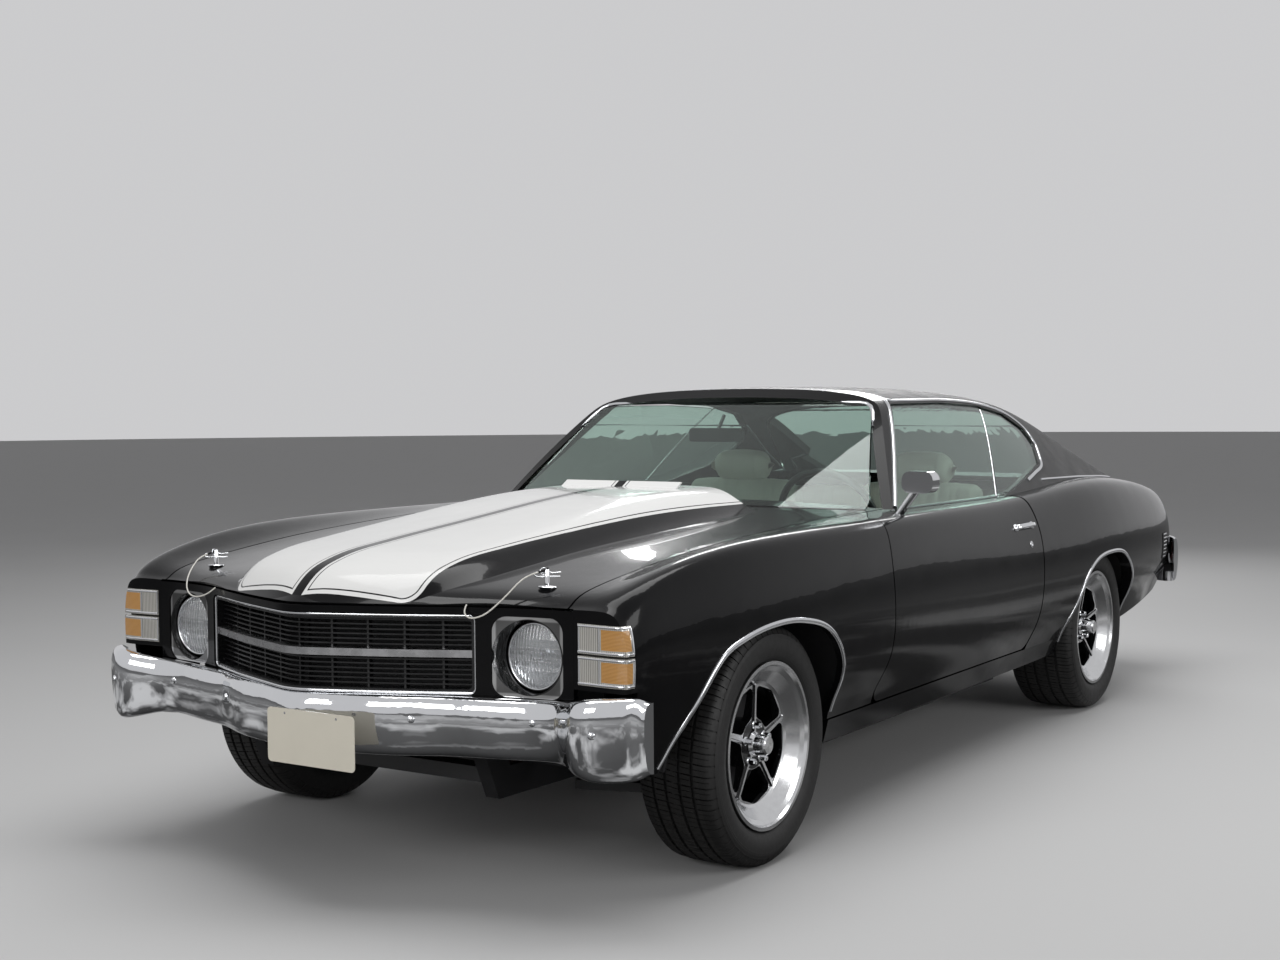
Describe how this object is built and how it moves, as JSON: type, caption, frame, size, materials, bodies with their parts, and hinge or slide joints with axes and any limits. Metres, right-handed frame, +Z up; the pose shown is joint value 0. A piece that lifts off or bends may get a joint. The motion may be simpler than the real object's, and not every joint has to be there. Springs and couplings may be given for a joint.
{
  "type": "muscle car",
  "caption": "Two-door hardtop muscle car with a raised hood, full interior, opening doors, hood and trunk lid, steering and free-turning wheels.",
  "frame": {"origin": "on the ground, under the middle of the car", "axes": "+X to the front, +Y to the car's left, +Z up"},
  "size_m": [5.021, 1.9406, 1.3358],
  "materials": {
    "body_paint": "deep gloss black enamel",
    "inner_paint": "semi-gloss black",
    "chassis_paint": "satin black chassis paint",
    "vinyl": "black grained vinyl",
    "chrome": "polished chrome",
    "rim_metal": "polished lip and spokes, black windows",
    "tyre": "black rubber",
    "glass": "lightly green tinted",
    "lamp_glass": "clear fluted",
    "corner_lens": "clear ribbed with an amber side",
    "red_lens": "red lens",
    "grille_black": "black bars with bright edges",
    "seat_vinyl": "parchment vinyl",
    "dash_plastic": "black",
    "steering_plastic": "black",
    "engine_iron": "painted block",
    "cord_wire": "pale coated cable",
    "steel": "bare and painted steel",
    "plate_paint": "cream, blank"
  },
  "bodies": {
    "body_shell": {"corner_lamps": "corner_lens", "cowl_panel": "body_paint", "dashboard": "dash_plastic", "driveline": "steel", "engine_bay": "inner_paint", "engine_block": "engine_iron", "exhaust": "steel", "firewall": "inner_paint", "floor_pan": "inner_paint", "frame": "chassis_paint", "front_bumper": "chrome", "front_fenders": "body_paint", "front_seats": "seat_vinyl", "front_suspension": "steel", "fuel_tank": "steel", "grille": "grille_black", "header_panel": "body_paint", "headlamp_bezels": "chrome", "headlamps": "lamp_glass", "interior_mirror": "chrome", "number_plate": "plate_paint", "quarter_panels": "body_paint", "rear_bumper": "chrome", "rear_deck": "body_paint", "rear_glass": "glass", "rear_seat": "seat_vinyl", "rockers": "body_paint", "roof": "vinyl", "tail_lamps": "red_lens", "tail_panel": "body_paint", "windshield": "glass", "windshield_frame": "body_paint"},
    "hood": {"hood": "body_paint", "hood_cord_left": "cord_wire", "hood_cord_right": "cord_wire"},
    "trunk_lid": {"trunk_lid": "body_paint"},
    "door_left": {"door_left": "body_paint", "door_glass_left": "glass", "door_mirror": "chrome"},
    "door_right": {"door_right": "body_paint", "door_glass_right": "glass"},
    "knuckle_left": {"knuckle_left": "steel"},
    "knuckle_right": {"knuckle_right": "steel"},
    "steering_wheel": {"steering_wheel": "steering_plastic"},
    "wheel_front_left": {"rim_front_left": "rim_metal", "tyre_front_left": "tyre"},
    "wheel_front_right": {"rim_front_right": "rim_metal", "tyre_front_right": "tyre"},
    "wheel_rear_left": {"rim_rear_left": "rim_metal", "tyre_rear_left": "tyre"},
    "wheel_rear_right": {"rim_rear_right": "rim_metal", "tyre_rear_right": "tyre"}
  },
  "joints": [
    {"name": "hood_hinge", "type": "hinge", "parent": "body_shell", "child": "hood", "pos_m": [0.6435, 0, 0.925], "axis": [0, -1, 0], "range_deg": [0, 50]},
    {"name": "trunk_hinge", "type": "hinge", "parent": "body_shell", "child": "trunk_lid", "pos_m": [-1.64, 0, 0.962], "axis": [0, 1, 0], "range_deg": [0, 70]},
    {"name": "door_left_hinge", "type": "hinge", "parent": "body_shell", "child": "door_left", "pos_m": [0.817, 0.95, 0.6], "axis": [0, 0, -1], "range_deg": [0, 65]},
    {"name": "door_right_hinge", "type": "hinge", "parent": "body_shell", "child": "door_right", "pos_m": [0.817, -0.95, 0.6], "axis": [0, 0, 1], "range_deg": [0, 65]},
    {"name": "knuckle_left_steer", "type": "hinge", "parent": "body_shell", "child": "knuckle_left", "pos_m": [1.5685, 0.667, 0.335], "axis": [0, 0, 1], "range_deg": [-33, 33]},
    {"name": "knuckle_right_steer", "type": "hinge", "parent": "body_shell", "child": "knuckle_right", "pos_m": [1.5685, -0.667, 0.335], "axis": [0, 0, 1], "range_deg": [-33, 33]},
    {"name": "steering_wheel_turn", "type": "hinge", "parent": "body_shell", "child": "steering_wheel", "pos_m": [0.14, 0.37, 0.85], "axis": [-0.9272, 0, 0.3746], "range_deg": [-528, 528]},
    {"name": "wheel_front_left_spin", "type": "hinge", "parent": "knuckle_left", "child": "wheel_front_left", "pos_m": [1.5685, 0.791, 0.335], "axis": [0, 1, 0], "continuous": true},
    {"name": "wheel_front_right_spin", "type": "hinge", "parent": "knuckle_right", "child": "wheel_front_right", "pos_m": [1.5685, -0.791, 0.335], "axis": [0, 1, 0], "continuous": true},
    {"name": "wheel_rear_left_spin", "type": "hinge", "parent": "body_shell", "child": "wheel_rear_left", "pos_m": [-1.2765, 0.76, 0.335], "axis": [0, 1, 0], "continuous": true},
    {"name": "wheel_rear_right_spin", "type": "hinge", "parent": "body_shell", "child": "wheel_rear_right", "pos_m": [-1.2765, -0.76, 0.335], "axis": [0, 1, 0], "continuous": true}
  ],
  "couplings": [
    {"joint": "knuckle_right_steer", "follows": "knuckle_left_steer", "ratio": 1},
    {"joint": "steering_wheel_turn", "follows": "knuckle_left_steer", "ratio": 16}
  ]
}
